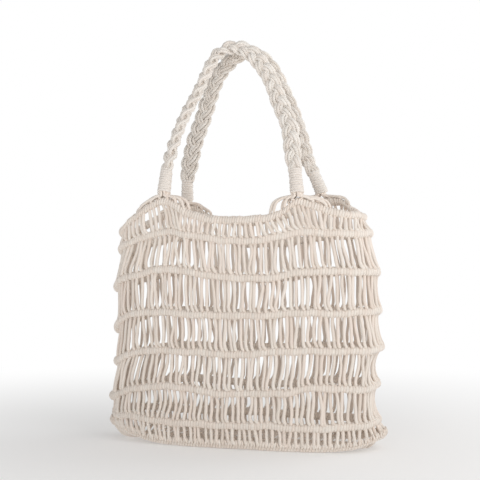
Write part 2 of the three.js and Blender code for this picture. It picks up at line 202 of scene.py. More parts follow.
# A rope's centre, its outward direction and its run at shares of the girth
def ropeAt(name, share):
    rope = ropeTable[name]
    unit = stationAt(share)
    halfWidth = rope["width"] * bagBody["halfWidth"]
    halfDepth = rope["depth"] * bagBody["halfDepth"]
    front = smoothBetween(levelPlaces, rope["front"], unit[..., 0])
    back = smoothBetween(levelPlaces, rope.get("back", rope["front"]), unit[..., 0])
    base = bagBody["baseRopeDiameter"] / 2
    level = base + np.where(unit[..., 1] < 0, front, back) * (bagBody["height"] - base)
    power = bagBody["outlinePower"] - 1
    outwards = unitVectors(np.sign(unit) * np.abs(unit) ** power / [halfWidth, halfDepth])
    outwards = np.concatenate([outwards, np.zeros_like(outwards[..., :1])], -1)
    across = unit[..., 0] * halfWidth + rope["shift"] * bagBody["halfWidth"]
    centre = np.stack([across, unit[..., 1] * halfDepth, level], -1)
    rise, sideways = ropeWave(name, share, 0), ropeWave(name, share, 1)
    if name == "base_rope":
        rise, sideways = np.abs(rise) * waves["baseShare"], sideways * waves["baseShare"]
    else:
        sideways = sideways - bagBody["endTuck"] * endNearness(share)
        leftDrop, rightDrop = endDrops.get(name, (0, 0))
        rise = rise - np.where(unit[..., 0] < 0, leftDrop, rightDrop) * endNearness(share) ** 2
    centre = centre + outwards * sideways[..., None] + up * rise[..., None]
    run = np.cross(up, outwards)
    return centre, outwards, run


# Mesh code for cords

def makeMesh(name, vertices, loops, starts, uv, tone, groove):
    mesh = bpy.data.meshes.new(name)
    mesh.vertices.add(len(vertices))
    mesh.vertices.foreach_set("co", np.ascontiguousarray(vertices, np.float32).ravel())
    mesh.loops.add(len(loops))
    mesh.loops.foreach_set("vertex_index", np.asarray(loops, np.int32))
    mesh.polygons.add(len(starts))
    mesh.polygons.foreach_set("loop_start", np.asarray(starts, np.int32))
    mesh.polygons.foreach_set("use_smooth", np.ones(len(starts), bool))
    mesh.update(calc_edges=True)
    mesh.uv_layers.new(name="cordUv").data.foreach_set("uv", np.asarray(uv, np.float32).ravel())
    # tone is each cord's own random tone; groove is how much painted shade a vertex gets, in grooves and where
    # cords meet
    for label, values in (("tone", tone), ("groove", groove)):
        mesh.attributes.new(label, "FLOAT", "POINT").data.foreach_set("value", np.asarray(values, np.float32))
    mesh.validate()
    return mesh


cordLook = {
    "endShare": 0.55,           # a cord narrows to this share of its radius at both ends
    "patternShift": 7,          # how far its tone moves the pattern along it, in girths
    "seenShare": 0.5,           # of the cord's girth, where it is wrapped round a rope
    "girthsRound": 2.0,         # of pattern along one wrap
    "curveSteps": 12,           # between two points of a smooth curve
}


# The angles of the corners of a tube's section
def ringTurns(sides):
    return np.arange(sides) * 2 * math.pi / sides


# Random tones for cords, from their mean and spread
def drawTones(random, tone, count=None):
    return np.clip(random.normal(*tone, count), 0, 1)


class CordMesh:
    # Collects tubes and rings of cord, and makes one mesh of them.
    def __init__(self):
        self.vertices, self.loops, self.sizes, self.uv, self.tone, self.groove = [], [], [], [], [], []
        self.count = 0

    def add(self, vertices, quads, quadUv, caps, capUv, tone, groove):
        self.vertices.append(vertices)
        self.loops.append(quads.ravel() + self.count)
        self.sizes.append(np.full(len(quads), 4))
        self.uv.append(quadUv.reshape(-1, 2))
        if len(caps):
            self.loops.append(caps.ravel() + self.count)
            self.sizes.append(np.full(len(caps), caps.shape[1]))
            self.uv.append(capUv.reshape(-1, 2))
        self.tone.append(tone)
        self.groove.append(groove)
        self.count += len(vertices)

    # Tubes along paths (cord, step, xyz), all with as many steps. Radii are per cord, per step or single.
    # Groove is painted shade along the cords, per step, and none if not given.
    def tubes(self, paths, radii, sides, tone, reference, groove=None):
        cords, steps = paths.shape[:2]
        tangents = unitVectors(np.gradient(paths, axis=1))
        normals = np.empty_like(paths)
        current = np.broadcast_to(reference, (cords, 3)).astype(float)
        for i in range(steps):
            along = tangents[:, i]
            current = unitVectors(current - np.sum(current * along, axis=1, keepdims=True) * along)
            normals[:, i] = current
        binormals = np.cross(tangents, normals)
        radii = np.broadcast_to(np.asarray(radii, float), (cords, steps)).copy()
        radii[:, [0, -1]] *= cordLook["endShare"]
        turn = ringTurns(sides)[:, None]
        ring = normals[:, :, None] * np.cos(turn) + binormals[:, :, None] * np.sin(turn)
        vertices = paths[:, :, None] + ring * radii[:, :, None, None]
        index = np.arange(cords * steps * sides).reshape(cords, steps, sides)
        after = np.roll(index, -1, axis=2)
        quads = np.stack([index[:, :-1], after[:, :-1], after[:, 1:], index[:, 1:]], -1).reshape(-1, 4)
        caps = np.concatenate([index[:, 0, ::-1], index[:, -1]])
        stepLength = np.linalg.norm(np.diff(paths, axis=1), axis=2)
        runSoFar = np.concatenate([np.zeros((cords, 1)), np.cumsum(stepLength, axis=1)], axis=1)
        girthOfCord = 2 * math.pi * np.median(radii, axis=1, keepdims=True)
        v = runSoFar / girthOfCord + np.asarray(tone)[:, None] * cordLook["patternShift"]
        u = np.arange(sides + 1) / sides
        lowU = np.broadcast_to(u[:-1], (cords, steps - 1, sides))
        highU = np.broadcast_to(u[1:], (cords, steps - 1, sides))
        lowV = np.broadcast_to(v[:, :-1, None], lowU.shape)
        highV = np.broadcast_to(v[:, 1:, None], lowU.shape)
        quadUv = np.stack([lowU, lowV, highU, lowV, highU, highV, lowU, highV], -1)
        capUv = np.stack([np.tile(u[:-1], (2 * cords, 1)), np.zeros((2 * cords, sides))], -1)
        groove = np.zeros((cords, steps)) if groove is None else np.broadcast_to(groove, (cords, steps))
        self.add(
            vertices.reshape(-1, 3), quads, quadUv, caps, capUv,
            np.repeat(np.asarray(tone, float), steps * sides), np.repeat(groove.ravel(), sides),
        )

    # One closed or open rope of wraps: rows (row, side, xyz), with each row's phase across its wrap and each
    # row's painted shade in groove
    def wrappedRope(self, rows, phase, tone, groove, closed=True):
        count, sides = rows.shape[:2]
        index = np.arange(count * sides).reshape(count, sides)
        after = np.roll(index, -1, axis=1)
        nextRow = np.roll(index, -1, axis=0)
        nextAfter = np.roll(after, -1, axis=0)
        last = count if closed else count - 1
        quads = np.stack([index, after, nextAfter, nextRow], -1)[:last].reshape(-1, 4)
        here = np.broadcast_to(phase[:, None], (count, sides)) * cordLook["seenShare"]
        there = np.roll(phase, -1)
        there = np.where(there < phase, 1.0, there)
        there = np.broadcast_to(there[:, None], (count, sides)) * cordLook["seenShare"]
        low = np.broadcast_to(np.arange(sides) / sides * cordLook["girthsRound"], (count, sides))
        high = low + cordLook["girthsRound"] / sides
        quadUv = np.stack([here, low, here, high, there, high, there, low], -1)[:last]
        caps = np.empty((0, sides), int) if closed else np.stack([index[0, ::-1], index[-1]])
        self.add(
            rows.reshape(-1, 3), quads, quadUv, caps, np.zeros((len(caps), sides, 2)),
            np.repeat(tone, sides), np.repeat(groove, sides),
        )

    def build(self, name, material, replacedNodes):
        sizes = np.concatenate(self.sizes)
        starts = np.concatenate([[0], np.cumsum(sizes)[:-1]])
        vertices = np.concatenate(self.vertices)
        vertices[:, 2] = np.maximum(vertices[:, 2], 0)      # the floor presses flat what rests on it
        mesh = makeMesh(
            name, vertices, np.concatenate(self.loops), starts,
            np.concatenate(self.uv), np.concatenate(self.tone), np.concatenate(self.groove),
        )
        mesh.materials.append(material)
        made = bpy.data.objects.new(name, mesh)
        bpy.context.scene.collection.objects.link(made)
        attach(made, "root")
        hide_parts(*replacedNodes)
        print(f"{name}: {len(self.vertices)} runs of cord, {len(mesh.polygons)} faces")
        return made


# Smooth curves through control points (point, cord, xyz), one for each cord, at shares of their lengths
def throughPoints(points, shares):
    points = np.asarray(points, float)
    if points.ndim == 2:
        points = points[:, None, :]
    ends = [2 * points[0] - points[1], 2 * points[-1] - points[-2]]
    padded = np.concatenate([ends[0][None], points, ends[1][None]])
    segments = len(points) - 1
    fine = np.linspace(0, segments, segments * cordLook["curveSteps"] + 1)
    left = np.minimum(fine.astype(int), segments - 1)
    t = (fine - left)[:, None, None]
    a, b, c, d = (padded[left + i] for i in range(4))
    curve = 0.5 * (
        2 * b + (c - a) * t + (2 * a - 5 * b + 4 * c - d) * t ** 2 + (3 * b - a - 3 * c + d) * t ** 3
    )
    made = []
    for i in range(curve.shape[1]):
        steps = np.linalg.norm(np.diff(curve[:, i], axis=0), axis=1)
        run = np.concatenate([[0.0], np.cumsum(steps)])
        made.append(np.stack([np.interp(shares * run[-1], run, curve[:, i, k]) for k in range(3)], -1))
    return np.stack(made)


# Materials

class Socket:
    # One output of a node. Arithmetic on it adds Math nodes to its material.
    def __init__(self, finish, output):
        self.finish = finish
        self.output = output

    def maths(self, operation, first, second=0.0):
        return self.finish.node("ShaderNodeMath", {"operation": operation}, {0: first, 1: second})

    def __add__(self, other):
        return self.maths("ADD", self, other)

    def __radd__(self, other):
        return self.maths("ADD", other, self)

    def __sub__(self, other):
        return self.maths("SUBTRACT", self, other)

    def __rsub__(self, other):
        return self.maths("SUBTRACT", other, self)

    def __mul__(self, other):
        return self.maths("MULTIPLY", self, other)

    def __rmul__(self, other):
        return self.maths("MULTIPLY", other, self)

    def sine(self):
        return self.maths("SINE", self)

    def fraction(self):
        return self.maths("FRACT", self)

    def larger(self, other):
        return self.maths("MAXIMUM", self, other)


class Finish:
    # The nodes of a material or of the world, added one by one.
    def __init__(self, owner):
        owner.use_nodes = True
        self.owner = owner
        self.tree = owner.node_tree
        self.tree.nodes.clear()

    def node(self, kind, settings=None, inputs=None, output=0):
        made = self.tree.nodes.new(kind)
        for key, value in (settings or {}).items():
            setattr(made, key, value)
        for key, value in (inputs or {}).items():
            if isinstance(value, Socket):
                self.tree.links.new(value.output, made.inputs[key])
            else:
                made.inputs[key].default_value = value
        return Socket(self, made.outputs[output])

    def mixColors(self, factor, first, second):
        return self.node("ShaderNodeMix", {"data_type": "RGBA"}, {0: factor, 6: first, 7: second}, 2)

    def end(self, surface, kind="ShaderNodeOutputMaterial"):
        self.tree.links.new(surface.output, self.tree.nodes.new(kind).inputs["Surface"])
        return self.owner


cottonLook = {
    "light": (0.9, 0.835, 0.765, 1.0),
    "blush": (0.885, 0.785, 0.705, 1.0),
    "dark": (0.6, 0.5, 0.41, 1.0),
    "strandsRound": 6,        # knitted ribs round one cord
    "strandPitch": 1.7,       # how fast they climb, in girths
    "bumpDistance": 0.22 * mm,
    "bumpStrength": 0.4,
    "fibreScale": 1100.0,
    "cloudScale": 26.0,
    "shade": 0.95,            # 1 is the undarkened colour and 0 the dark one, and the next five vary it: tone, cloud and fibre as the cord's own uneven colour, knit and groove as painted shade in the knit's hollows and in the grooves where cords meet
    "toneShade": 0.45,
    "cloudShade": 0.3,
    "fibreShade": 0.12,
    "knitShade": 0.03,
    "grooveShade": 0.5,
    "hueSpread": 37.0,        # spreads the tones evenly between light and blush
    "roughness": 0.84,
    "fibreRoughness": 0.2,
    "specular": 0.25,
    "sheen": 0.3,
    "sheenRoughness": 0.5,
}

# The handles get a whiter copy of the body's cotton: painted light, for the bright light that falls on the
# handles.
handlePaintedLightLook = {"light": (0.87, 0.835, 0.785, 1.0), "blush": (0.86, 0.8, 0.745, 1.0)}


def cottonFinish(name, changes):
    look = {**cottonLook, **changes}
    finish = Finish(bpy.data.materials.new(name))
    uv = finish.node("ShaderNodeUVMap", {"uv_map": "cordUv"})
    u, v = (finish.node("ShaderNodeSeparateXYZ", {}, {0: uv}, i) for i in range(2))
    tone, groove = (
        finish.node("ShaderNodeAttribute", {"attribute_name": label}, {}, 2) for label in ("tone", "groove")
    )
    place = finish.node("ShaderNodeTexCoord", {}, {}, 3)
    fibre, cloud = (
        finish.node("ShaderNodeTexNoise", {}, {"Vector": place, "Scale": look[scale], "Detail": detail})
        for scale, detail in (("fibreScale", 3.0), ("cloudScale", 2.0))
    )
    climbing = ((u * look["strandsRound"] + v * look["strandPitch"]) * (2 * math.pi)).sine()
    falling = ((u * look["strandsRound"] - v * look["strandPitch"]) * (2 * math.pi)).sine()
    knit = climbing.larger(falling)
    shade = look["shade"]
    for part, strength in ((tone, "toneShade"), (cloud, "cloudShade"), (fibre, "fibreShade")):
        shade = shade + (part - 0.5) * look[strength]
    # Knit and groove paint shade into the colour: darker in the knit's hollows and lighter on its crests, and
    # darker in the grooves where cords meet and wrap
    shade = shade + knit * look["knitShade"] - groove * look["grooveShade"]
    hue = (tone * look["hueSpread"]).fraction()
    undarkened = finish.mixColors(hue, look["light"], look["blush"])
    height = knit * 0.5 + fibre * 0.5
    bump = finish.node("ShaderNodeBump", {}, {
        "Strength": look["bumpStrength"], "Distance": look["bumpDistance"], "Height": height,
    })
    return finish.end(finish.node("ShaderNodeBsdfPrincipled", {}, {
        "Base Color": finish.mixColors(shade, look["dark"], undarkened),
        "Roughness": look["roughness"] + (fibre - 0.5) * look["fibreRoughness"],
        "Normal": bump,
        "Metallic": 0.0,
        "Specular IOR Level": look["specular"],
        "Sheen Weight": look["sheen"],
        "Sheen Roughness": look["sheenRoughness"],
    }))


cotton = cottonFinish("cotton cord", {})
# A copy of the cotton with painted light, for the handles
handlePaintedLightCotton = cottonFinish("cotton cord with painted handle light", handlePaintedLightLook)


# Ropes: a filler hidden by cord wrapped round it

ropeLook = {
    "sides": 12,
    "phases": np.array([0.0, 0.13, 0.5, 0.87]),   # rows across one wrap, the first in the groove
    "uneven": 0.13,             # how far a wrap's edges stray, as a share of its width
    "swell": 0.035,             # how unlike the wraps are, as a share of their radius
    "tiltSpread": 0.3,          # and as a share of their tilt
    "tone": (0.66, 0.13),       # mean and spread, as in every piece; the mean is set above the net cords', painted light for the ropes standing out into the light
}

# How deep the grooves are, how far a wrap slants from the rope's one side to the other, and how much thicker
# every second wrap is, as a share
wrapTable = {
    "usual": {"groove": 0.7 * mm, "tilt": 0.9 * mm, "secondSwell": 0.01},
    "rim_rope": {"groove": 1.15 * mm, "tilt": 2.1 * mm, "secondSwell": 0.03},
    "base_rope": {"groove": 0.9 * mm, "tilt": 1.6 * mm, "secondSwell": 0.01},
}


# How far a wrap stands out at phases across it: 0 in the groove and 1 on the crest
def wrapCrest(phases):
    return np.sqrt(np.maximum(1 - (2 * phases - 1) ** 2, 0))


def wrappedRing(name):
    random = np.random.default_rng([seeds["ropes"], ropeNames.index(name)])
    look, wrap = ropeLook, wrapTable.get(name, wrapTable["usual"])
    wraps = bagBody["uprights"] * bagBody["wrapsPerUpright"]
    phases = look["phases"]
    edges = (np.arange(wraps) + random.uniform(-look["uneven"], look["uneven"], wraps)) / wraps
    widths = np.diff(np.append(edges, edges[0] + 1))
    share = (edges[:, None] + widths[:, None] * phases).ravel()
    swell = 1 + random.normal(0, look["swell"], wraps)
    swell[::2] += wrap["secondSwell"]
    crest = wrapCrest(phases)
    radius = (ropeRadius(name) * swell)[:, None] - wrap["groove"] * (1 - crest)
    radius = radius.ravel() * endSwell(name, share)
    tilt = np.repeat(wrap["tilt"] * (1 + random.normal(0, look["tiltSpread"], wraps)), len(phases))
    centre, outwards, run = ropeAt(name, share)
    turn = ringTurns(look["sides"])[:, None]
    section = (outwards[:, None] * np.cos(turn) - up * np.sin(turn)) * radius[:, None, None]
    slant = run[:, None] * -np.sin(turn) * tilt[:, None, None] / 2
    tone = np.repeat(drawTones(random, look["tone"], wraps), len(phases))
    rows = centre[:, None] + section + slant
    cord = CordMesh()
    # The rows in the grooves between wraps get painted shade, 1 in the groove and 0 on the crest.
    cord.wrappedRope(rows, np.tile(phases, wraps), tone, np.tile(1 - crest, wraps))
    return cord


# Net: upright cords that join one rope to the next

netPlaces = [-1, -0.85, -0.65, -0.5, -0.35, -0.15, 0, 0.15, 0.3, 0.45, 0.6, 0.8, 1]

# How far each band's cords lean and bow along the ropes on the front of the bag, and how far they stand back
# between the ropes at its left and right ends, in millimetres
netTable = {
    "net_band_1": {
        "lean": [0, 0, 3, 6.5, -6.5, -8, -6, -4, 1.5, 4, -1.5, -11, -12],
        "bow": [0, 0, 1, 2, 0, 0, 0, -1, -1, 0, 0, 0, 0],
        "recess": (2, 2),
    },
    "net_band_2": {
        "lean": [-4, -4, -0.5, 3, 4.5, 2.3, 1, -0.5, -1.5, -2.4, -2.4, -1, -1],
        "bow": [0, 1, 1, 0, 0, 0, 1, 0, 0, 1, 0, 0, 0],
        "recess": (6.4, 3.2),
    },
    "net_band_3": {
        "lean": [-1.5, -1.5, 0, 0.5, -1, -1, -1.5, -3, -4.5, -2.8, -2.5, -2, -1.5],
        "bow": [0, 0, 1, 0, -1, 0, 1, 1, 0, 1, 0, 0, 0],
        "recess": (5, 3.2),
    },
    "net_band_4": {
        "lean": [-2, -3.7, 3.6, 1, 0.2, 2.3, 0.3, -1, -1.8, -3.1, -2.2, -1.3, -2.5],
        "bow": [0, 1, 1, 1, 1, 1, 0, 0, 0, 0, -1, 0, 0],
        "recess": (8, 4.8),
    },
    "net_band_5": {
        "lean": [-2, -6.7, -2, 0.5, 2.2, 3.4, 3, 2, -0.2, -0.2, 0, -0.6, -1.2],
        "bow": [0, -1, 1, 2, 1, 0, 0, 1, 1.5, 1.5, 1.5, 1, -1],
        "recess": (5, 8.5),
    },
    "net_band_6": {
        "lean": [0, 0, -0.5, -4, -1, 0.5, 0.5, 0.5, 1, 0.5, 0, -1, -2],
        "bow": [0, 0, 2, 6, 4, 2, 1, 1, 1.5, 1, 0.5, 0, 0],
        "recess": (3, 6.5),
    },
    "net_band_7": {
        "lean": [3, 5.8, 4, 1, 0, -1.5, -2.5, -3, -3.5, -4, -5, -6, -6],
        "bow": [0, 0, 0, 0, 0, 0, 0, 0, 0, 0, 0, 0, 0],
        "recess": (0.5, 0.5),
    },
}

netLook = {
    "sides": 8,
    "steps": np.array([0, 0.07, 0.18, 0.33, 0.5, 0.67, 0.8, 0.9, 0.96, 1]),
    "groove": np.array([0.8, 0.35, 0, 0, 0, 0, 0, 0, 0, 0.35]),     # how dark each step is: painted shade at the ends, where the cord meets the ropes
    "tone": (0.5, 0.22),
    "thickness": 0.05,          # how unlike the cords are, as a share of their radius
    "backShare": 0.6,           # how far the back mirrors the front's leans and bows
    "spread": 0.85 * mm,        # how unevenly the cords are spaced
    "lowSpread": 1.4,           # how many times more so at their lower ends
    "topDrop": 0.45,            # where they leave the upper rope, in its radii down and out
    "topOut": (-0.1, 0.25),
    "lowRise": 0.62,            # where they reach the lower rope, in its radii up and out
    "lowOut": (0.5, 0.8),
    "fullLength": 40 * mm,      # shorter cords sway and bulge less,
    "leastSway": 0.35,          # down to this share
    "sway": 1.1 * mm,           # how far single cords bow off their band's own bow
    "twist": 0.55,              # how much of that they bend both ways
    "pairing": 0.6 * mm,        # how far neighbours bow towards or off each other
    "pairRange": (-0.4, 1.0),
    "hook": 3.2 * mm,           # how far the lower ends turn to the right
    "hookRange": (0.6, 1.3),
    "hookStart": 0.8,           # from this share of a cord's length
    "bulge": 0.7 * mm,
    "bulgeSpread": 0.5 * mm,
    "recessPower": 0.6,         # 1 is a sine's curve, and less is fuller
}


def netBand(name, upper, lower):
    random = np.random.default_rng([seeds["net"], int(name[-1])])
    look, table = netLook, netTable[name]
    count = bagBody["uprights"]
    share = (np.arange(count) + 0.5) / count
    unit = stationAt(share)
    sideSign = np.where(unit[:, 1] < 0, 1.0, -look["backShare"])
    lean, bow = (smoothBetween(netPlaces, table[key], unit[:, 0]) * sideSign * mm for key in ("lean", "bow"))
    shareTop = share + random.normal(0, look["spread"], count) / girth
    shareLow = share + (lean + random.normal(0, look["spread"] * look["lowSpread"], count)) / girth
    top, topOut, topRun = ropeAt(upper, shareTop)
    low, lowOut, _ = ropeAt(lower, shareLow)
    topRadius, lowRadius = ropeRadius(upper), ropeRadius(lower)
    cordRadius = bagBody["cordDiameter"] / 2 * (1 + random.normal(0, look["thickness"], count))
    start = top - up * topRadius * look["topDrop"]
    start = start + topOut * (topRadius * random.uniform(*look["topOut"], count))[:, None]
    end = low + up * lowRadius * look["lowRise"]
    end = end + lowOut * (lowRadius * random.uniform(*look["lowOut"], count))[:, None]
    t = look["steps"]
    arch = np.sin(math.pi * t)
    along = start[:, None] + (end - start)[:, None] * t[None, :, None]
    length = np.linalg.norm(end - start, axis=1)
    amount = np.clip(length / look["fullLength"], look["leastSway"], 1.0)
    pair = np.where(np.arange(count) % 2 == 0, 1.0, -1.0) * random.uniform(*look["pairRange"], count)
    sway = (bow + pair * look["pairing"] + random.normal(0, look["sway"], count)) * amount
    twist = random.normal(0, look["sway"] * look["twist"], count) * amount
    hook = look["hook"] * random.uniform(*look["hookRange"], count)
    hookRise = np.clip((t - look["hookStart"]) / (1 - look["hookStart"]), 0, 1) ** 2
    bend = sway[:, None] * arch + twist[:, None] * np.sin(2 * math.pi * t) + hook[:, None] * hookRise
    bulge = (look["bulge"] + random.normal(0, look["bulgeSpread"], count)) * amount
    recess = np.where(unit[:, 0] < 0, *table["recess"]) * mm * endNearness(share)
    outwards = bulge[:, None] * arch - recess[:, None] * arch ** look["recessPower"]
    paths = along + topRun[:, None] * bend[..., None] + topOut[:, None] * outwards[..., None]
    tone = drawTones(random, look["tone"], count)
    cord = CordMesh()
    cord.tubes(paths, cordRadius[:, None], look["sides"], tone, topRun, look["groove"])
    return cord


legLook = {
    "seed": 99,                 # a number that no band has
    "sides": 7,
    "radius": 1.45 * mm,
    "thinning": 0.35,           # how much thinner the legs are at the bag's ends, as a share
    "reach": 2.0 * mm,          # how far to either side they stand
    "reachSpread": 0.3 * mm,
    "shift": 0.6 * mm,
    # Points along a leg: height and way out in the rope's radii, and way back as a share of the reach
    "points": [(2.1, 0.35, 0.75), (1.15, 0.75, 0.3), (0.1, 1.0, 0.0)],
    # How dark each step is: painted shade at the ends, where the leg meets the rope
    "groove": np.array([0.5, 0.2, 0, 0, 0.1, 0.4]),
    "tone": (0.55, 0.2),
}


# Where a band's cords meet the lowest rope, each splits into two short legs.
def baseLegs(cord):
    look = legLook
    random = np.random.default_rng([seeds["net"], look["seed"]])
    count = bagBody["uprights"]
    share = (np.arange(count) + 0.5) / count
    ropeR = ropeRadius("base_rope")
    radius = look["radius"] * (1 - look["thinning"] * endNearness(share))
    for way in (-1, 1):
        reach = way * look["reach"] + random.normal(0, look["reachSpread"], count)
        foot, out, run = ropeAt("base_rope", share + (reach + look["shift"]) / girth)
        points = [
            foot + (up * rise + out * away) * ropeR - run * (reach * back)[:, None]
            for rise, away, back in look["points"]
        ]
        paths = throughPoints(points, np.linspace(0, 1, len(look["groove"])))
        tone = drawTones(random, look["tone"], count)
        cord.tubes(paths, radius[:, None], look["sides"], tone, run, look["groove"])


# Floor: cords that cross from front to back, and a wrapped rope along the middle that ties them

floorLook = {
    "crossings": 46,
    "endShare": 0.955,          # how far out the last cords cross, as a share of the half width
    "level": 3.4 * mm,
    "sink": 0.6 * mm,           # how much lower the cords are where they are tied
    "edgeLevel": 0.9,           # where they leave the lowest rope, as a share of its height
    "sway": 0.9 * mm,
    "cordRadius": 1.8 * mm,
    "sides": 8,
    # How dark each step is: painted shade at both ends, where the cord meets the lowest rope and the middle tie
    "groove": np.array([0.5, 0, 0, 0, 0, 0, 0, 0, 0.5]),
    "tone": (0.5, 0.2),
}

tieLook = {
    "halfLength": 138 * mm,
    "radius": 2.9 * mm,
    "sides": 10,
    "wraps": 92,
    "grooveDepth": 0.8 * mm,
    "swell": 0.03,
    "tone": (0.5, 0.15),
}


def floorNet():
    random = np.random.default_rng(seeds["base"])
    look = floorLook
    cord = CordMesh()
    places = np.linspace(-look["endShare"], look["endShare"], look["crossings"])
    front, back = (ropeAt("base_rope", np.array([shareAt(x, side) for x in places]))[0] for side in (-1, 1))
    lowest = look["level"] - look["sink"]
    middle = (front + back) / 2
    middle[:, 0] = np.clip(middle[:, 0], -tieLook["halfLength"], tieLook["halfLength"])
    middle[:, 2] = lowest
    for edge in (front, back):
        edge[:, 2] = np.maximum(edge[:, 2] * look["edgeLevel"], lowest)
        halfway = (edge + middle) / 2
        halfway[:, 2] = look["level"]
        halfway[:, 0] += random.normal(0, look["sway"], len(places))
        paths = throughPoints([edge, halfway, middle], np.linspace(0, 1, len(look["groove"])))
        tone = drawTones(random, look["tone"], len(places))
        cord.tubes(paths, look["cordRadius"], look["sides"], tone, np.array([1.0, 0.0, 0.0]), look["groove"])
    middleTie(cord, random)
    return cord


def middleTie(cord, random):
    look, phases = tieLook, ropeLook["phases"]
    wraps = look["wraps"]
    crest = np.tile(wrapCrest(phases), wraps)
    x = ((np.arange(wraps)[:, None] + phases).ravel() / wraps * 2 - 1) * look["halfLength"]
    swell = np.repeat(1 + random.normal(0, look["swell"], wraps), len(phases))
    radius = look["radius"] * swell - look["grooveDepth"] * (1 - crest)
    turn = ringTurns(look["sides"])
    rows = np.zeros((len(x), look["sides"], 3))
    rows[..., 0] = x[:, None]
    rows[..., 1] = radius[:, None] * np.cos(turn)
    rows[..., 2] = floorLook["level"] + radius[:, None] * np.sin(turn)
    tone = np.repeat(drawTones(random, look["tone"], wraps), len(phases))
    # The tie's grooves between wraps get painted shade too.
    cord.wrappedRope(rows, np.tile(phases, wraps), tone, 1 - crest, closed=False)


# Handles: each a plait of three strands, wound with cord at both feet

handleBody = {
    "rise": 178 * mm,
    "collarLength": 27 * mm,
    "footDiameter": 16.6 * mm,
    "topDiameter": 14.6 * mm,
    "hubHeight": 5.5 * mm,      # a collar's foot stands this far over the rim rope
    "clearance": 0.35 * mm,
}

# Collars stand at shares of the rim's half width and lean towards the middle by shares of their length.
# Route points: across as a share of half the stance, rise of the handle's rise and depth of the bag's half
# depth. The plait turns by the twist, in degrees, and is as many times wider as width says, at even shares of
# its length.
handleTable = {
    "front": {
        "side": -1,
        "left": {"share": -0.532, "across": 0.05, "depth": 0.2},
        "right": {"share": 0.538, "across": 0.13, "depth": 0.19},
        "across": [
            -0.888, -0.757, -0.577, -0.425, -0.3, -0.12, 0.03,
            0.154, 0.28, 0.404, 0.54, 0.66, 0.84, 0.898,
        ],
        "rise": [0.361, 0.53, 0.7, 0.872, 0.96, 1, 0.994, 0.968, 0.923, 0.853, 0.75, 0.63, 0.428, 0.316],
        "depth": [0.67, 0.55, 0.42, 0.3, 0.24, 0.205, 0.205, 0.23, 0.26, 0.32, 0.39, 0.48, 0.62, 0.7],
        "twist": [35, 58, 60, 30, 10, 0, 0],
        "width": [1.15, 1.02, 1, 1, 1.02, 1.05, 1.05],
    },
    "back": {
        "side": 1,
        "left": {"share": -0.552, "across": 0.07, "depth": 0.2},
        "right": {"share": 0.618, "across": 0.36, "depth": 0.19},
        "across": [
            -0.905, -0.829, -0.725, -0.538, -0.427, -0.3, -0.139, 0.033,
            0.22, 0.367, 0.471, 0.574, 0.676, 0.765, 0.814,
        ],
        "rise": [
            0.267, 0.38, 0.491, 0.708, 0.815, 0.888, 0.945, 0.966,
            0.925, 0.847, 0.747, 0.626, 0.498, 0.344, 0.234,
        ],
        "depth": [
            0.71, 0.63, 0.55, 0.39, 0.31, 0.26, 0.22, 0.2,
            0.23, 0.29, 0.36, 0.45, 0.54, 0.65, 0.73,
        ],
        "twist": [0, 0, 0, 0, 0, 15, 20],
        "width": [1.25, 1.22, 1.12, 1, 1, 1, 1],
    },
}


def collarPlace(handle, end):
    collar, side = handle[end], handle["side"]
    share = shareAt(collar["share"], side)
    centre, _, _ = ropeAt("rim_rope", np.array([share]))
    hubFoot = centre[0] + up * (ropeRadius("rim_rope") + handleBody["clearance"])
    across = -math.copysign(collar["across"], collar["share"])
    depth = -side * collar["depth"]
    lean = np.array([across, depth, math.sqrt(1 - across ** 2 - depth ** 2)])
    dip = handleBody["footDiameter"] / 2 * math.hypot(across, depth)
    foot = hubFoot + up * (handleBody["hubHeight"] + handleBody["clearance"] + dip)
    return {"share": share, "foot": foot, "lean": lean, "top": foot + lean * handleBody["collarLength"]}


plaitLook = {
    "strands": 3,
    "swing": 5.0 * mm,          # how far a strand swings to either side
    "cross": 3.9 * mm,          # and to the front and back as it crosses
    "period": 46.5 * mm,
    "wander": 0.06,             # how unlike the swings are, as a share
    "wanderSpeed": 1.7,         # in radians for each period
    "bundle": np.array([[-3.1, 0.2], [0.1, 1.3], [3.1, -0.2], [-0.1, -1.5]]) * mm,  # a strand's cords
    "stray": 0.1,               # how far the cords stray in their bundle, as a share of its spread
    "straySpeeds": (2, 5),
    "cordRadius": 1.9 * mm,
    # Set low, as painted shade on the handles
    "tone": (0.36, 0.2),
    "sides": 7,
    "stepsPerPeriod": 18,
    "roughSteps": 400,          # for measuring the length
    "inside": 6 * mm,           # the strands run on this far inside each collar
    "shoulder": 18 * mm,        # and draw together over this length above it
    "drawnShare": 0.76,
    "bundleRest": 0.4,          # this much of a bundle's spread doesn't draw in
}


